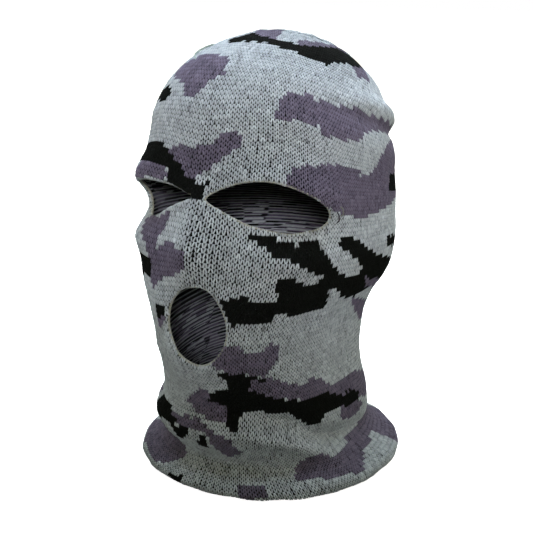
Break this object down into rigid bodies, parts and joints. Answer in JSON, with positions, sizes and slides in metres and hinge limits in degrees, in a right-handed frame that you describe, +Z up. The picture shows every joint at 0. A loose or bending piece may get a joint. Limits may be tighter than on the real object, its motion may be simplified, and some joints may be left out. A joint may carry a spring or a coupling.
{
  "type": "knitted balaclava",
  "caption": "Close-fitting knitted face mask covering head and neck, with two eye openings, a mouth opening and a flared hem, in camouflage colours.",
  "frame": {"origin": "centre of the overall box on the plane the hem rests on", "axes": "+Z up along the neck; the face looks along -Y; +X is the wearer's left"},
  "size_m": [0.181, 0.1914, 0.2886],
  "materials": {
    "camouflage_knit": "matt coarse stockinette in blue-grey, dull purple and near-black",
    "turned_edge_knit": "matt knit, turned and bound",
    "closing_yarn": "matt plied acrylic yarn",
    "label_ribbon": "blank satin ribbon",
    "sewing_thread": "black polyester thread"
  },
  "bodies": {
    "mask": {"knit_body": "camouflage_knit", "left_eye_edge": "turned_edge_knit", "right_eye_edge": "turned_edge_knit", "mouth_edge": "turned_edge_knit", "hem_edge": "turned_edge_knit", "crown_gather_yarn": "closing_yarn", "yarn_tail": "closing_yarn", "label_stitches": "sewing_thread"},
    "label": {"care_label": "label_ribbon"}
  },
  "joints": [
    {"name": "label_hinge", "type": "hinge", "parent": "mask", "child": "label", "pos_m": [-0.00221, 0.06495, 0.0496], "axis": [-1, 0, 0], "range_deg": [0, 120]}
  ]
}
